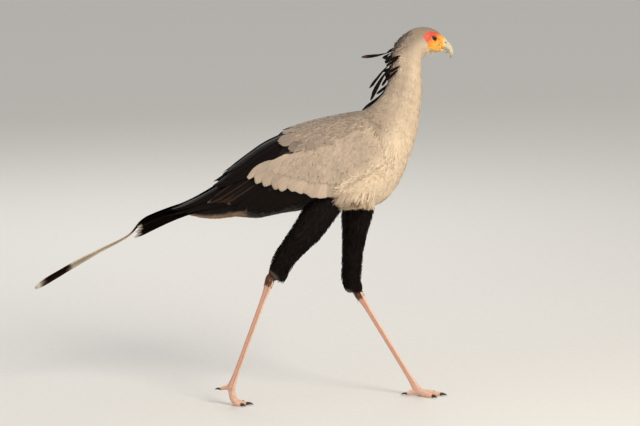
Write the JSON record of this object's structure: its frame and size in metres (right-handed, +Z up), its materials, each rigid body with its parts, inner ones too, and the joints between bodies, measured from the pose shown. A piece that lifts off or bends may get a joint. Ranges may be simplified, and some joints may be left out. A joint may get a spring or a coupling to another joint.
{
  "type": "secretary bird model",
  "caption": "Life-size still model of a secretary bird in mid-stride: long legs, folded wings, nape crest and long central tail feathers.",
  "frame": {"origin": "on the ground, under the middle of the length from the bill to the tips of the long tail feathers", "axes": "+X the way the bird walks and looks, +Y its left side, +Z up"},
  "size_m": [1.0962, 0.2044, 0.9943],
  "materials": {
    "grey_plumage": "matt pale grey and cream feathers",
    "wing_plumage": "matt pale grey coverts over black flight feathers",
    "neck_plumage": "matt pale grey feathers",
    "head_plumage": "matt grey feathers round bare orange skin",
    "black_plumage": "soft black feathers",
    "tail_plumage": "black and grey feathers with white tips",
    "bill": "smooth pale horn",
    "eye": "wet dark eye",
    "leg_skin": "pink scaled skin",
    "claw": "dark smooth horn"
  },
  "bodies": {
    "root": {"torso": "grey_plumage", "neck": "neck_plumage", "head": "head_plumage", "crest": "black_plumage", "bill_upper": "bill", "bill_lower": "bill", "eye_left": "eye", "eye_right": "eye", "wing_left": "wing_plumage", "wing_right": "wing_plumage", "tail": "tail_plumage", "thigh_left": "black_plumage", "thigh_right": "black_plumage", "shank_left": "leg_skin", "shank_right": "leg_skin", "foot_left": "leg_skin", "foot_right": "leg_skin", "claw_left_inner": "claw", "claw_left_middle": "claw", "claw_left_outer": "claw", "claw_left_hind": "claw", "claw_right_inner": "claw", "claw_right_middle": "claw", "claw_right_outer": "claw", "claw_right_hind": "claw"}
  },
  "joints": []
}
